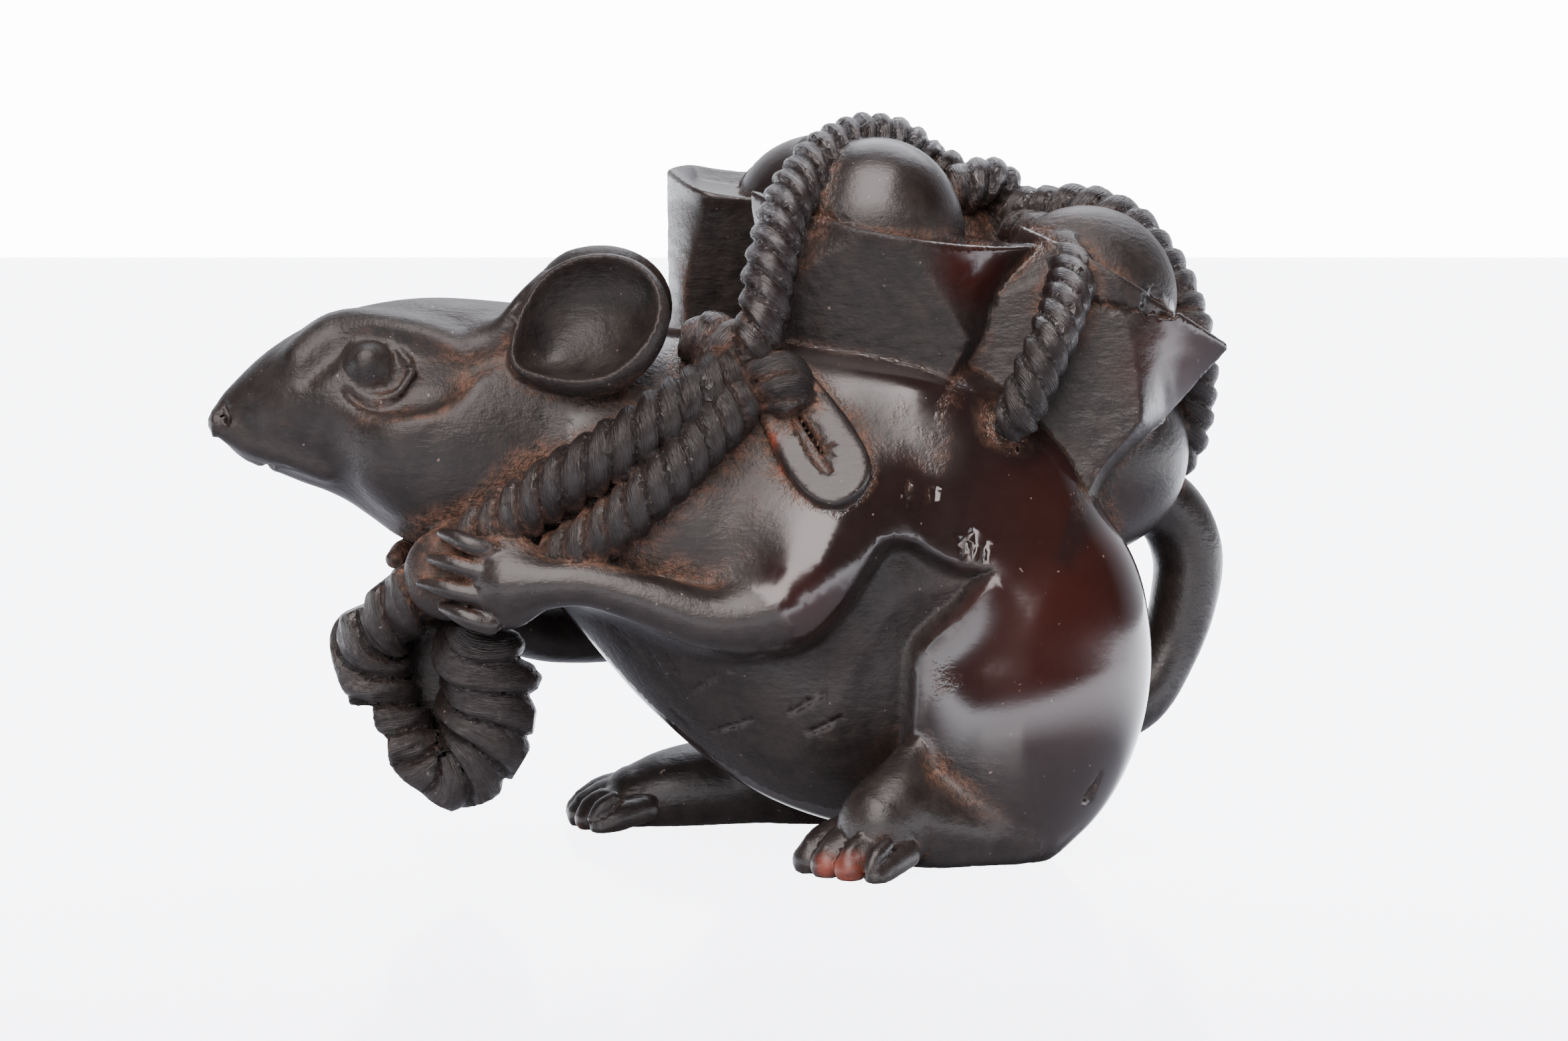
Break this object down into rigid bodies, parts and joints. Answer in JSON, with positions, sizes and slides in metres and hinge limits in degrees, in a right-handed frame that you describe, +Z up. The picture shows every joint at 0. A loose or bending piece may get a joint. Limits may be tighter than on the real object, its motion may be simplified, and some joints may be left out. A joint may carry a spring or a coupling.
{
  "type": "netsuke",
  "caption": "Netsuke carved from one block of dark wood: a crouching rat with a roped load of boat-shaped ingots on its back, a rope loop held in its paws and a curled tail.",
  "frame": {"origin": "middle of the carving's box on the ground that the feet stand on", "axes": "-X towards the nose and +X towards the tail, so X is the longest extent; -Y towards the side the picture shows, the animal's left; +Z up"},
  "size_m": [0.0489, 0.0272, 0.0354],
  "materials": {
    "dark_wood": "satin"
  },
  "bodies": {
    "root": {"netsuke": "dark_wood"}
  },
  "joints": []
}
